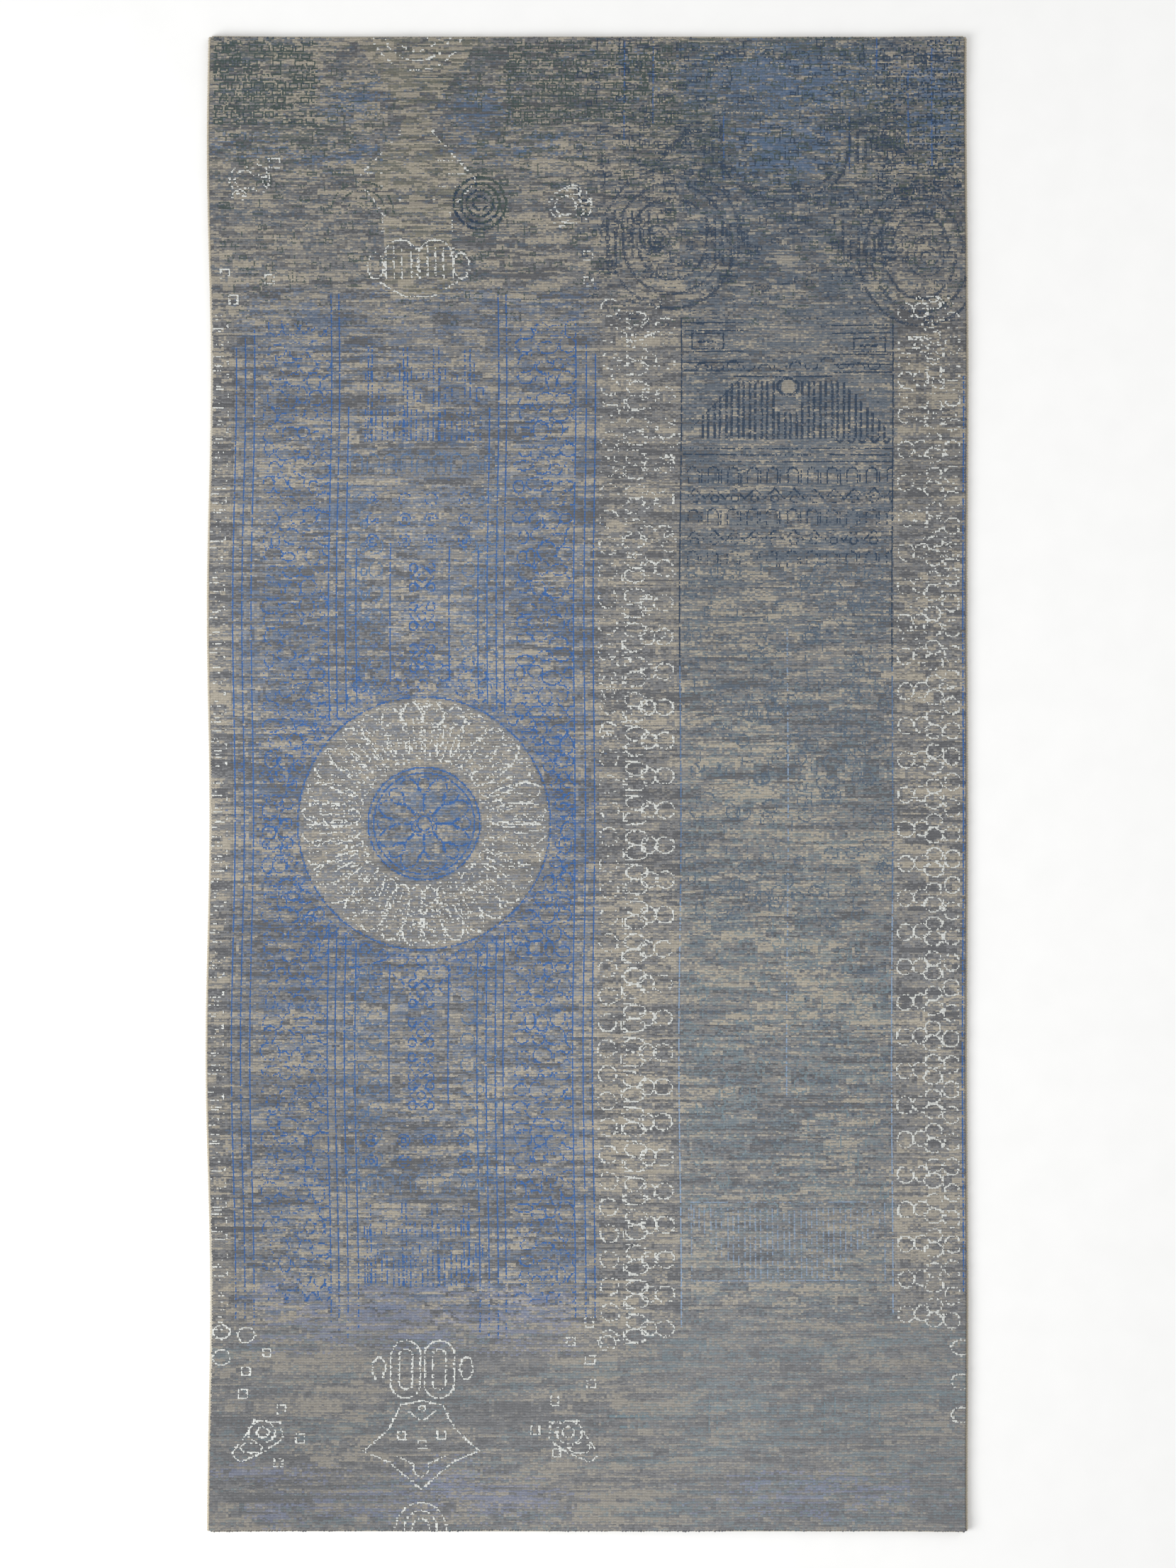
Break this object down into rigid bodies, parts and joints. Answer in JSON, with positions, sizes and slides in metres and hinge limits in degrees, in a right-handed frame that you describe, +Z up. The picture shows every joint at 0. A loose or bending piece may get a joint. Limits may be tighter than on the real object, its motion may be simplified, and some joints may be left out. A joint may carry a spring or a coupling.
{
  "type": "runner rug",
  "caption": "Hand-knotted runner rug with a low cut pile, overcast side cords and hemmed flat-woven ends, lying flat on the floor.",
  "frame": {"origin": "on the floor under the middle of the rug", "axes": "+X across the rug towards the side with the lined panel, +Y along the rug towards the dark head end, +Z up"},
  "size_m": [0.8, 1.574, 0.009],
  "materials": {
    "wool_pile_grey": "soft cut wool pile, mottled grey and beige",
    "wool_pile_blue": "soft cut wool pile, blue over grey",
    "wool_pile_dark": "soft cut wool pile, dark navy and grey-green",
    "silk_pile": "cut silk pile, slightly shiny",
    "knot_backs": "wool loops of the knots, matt",
    "cotton_warp": "unbleached cotton yarn",
    "cotton_weft": "unbleached cotton yarn",
    "side_cord_wool": "tan overcast wool yarn",
    "cotton_cord": "plied cotton cord",
    "cotton_web": "plain flat-woven cotton web",
    "linen_thread": "waxed sewing thread"
  },
  "bodies": {
    "root": {"pile_head_left": "wool_pile_dark", "pile_head_right": "wool_pile_dark", "pile_foot_left": "wool_pile_grey", "pile_foot_right": "wool_pile_grey", "pile_edge_stripe": "wool_pile_blue", "pile_edge_line": "wool_pile_blue", "pile_ring_stripe": "wool_pile_grey", "pile_outer_stripe": "wool_pile_grey", "pile_lined_panel_lower": "wool_pile_grey", "pile_lined_panel_upper": "wool_pile_dark", "pile_panel_lower": "wool_pile_blue", "pile_panel_middle": "wool_pile_blue", "pile_panel_upper": "wool_pile_blue", "pile_medallion_ring": "wool_pile_blue", "pile_medallion_eye": "wool_pile_blue", "silk_rings_middle": "silk_pile", "silk_rings_outer": "silk_pile", "silk_petals": "silk_pile", "silk_arches_foot": "silk_pile", "silk_arches_head": "silk_pile", "warp_threads": "cotton_warp", "weft_threads": "cotton_weft", "knot_collars": "knot_backs", "side_cord_core_left": "cotton_cord", "side_cord_core_right": "cotton_cord", "side_cord_wrap_left": "side_cord_wool", "side_cord_wrap_right": "side_cord_wool", "kilim_end_head": "cotton_web", "kilim_end_foot": "cotton_web", "end_twining_head": "cotton_cord", "end_twining_foot": "cotton_cord", "hem_stitches_head": "linen_thread", "hem_stitches_foot": "linen_thread"}
  },
  "joints": []
}
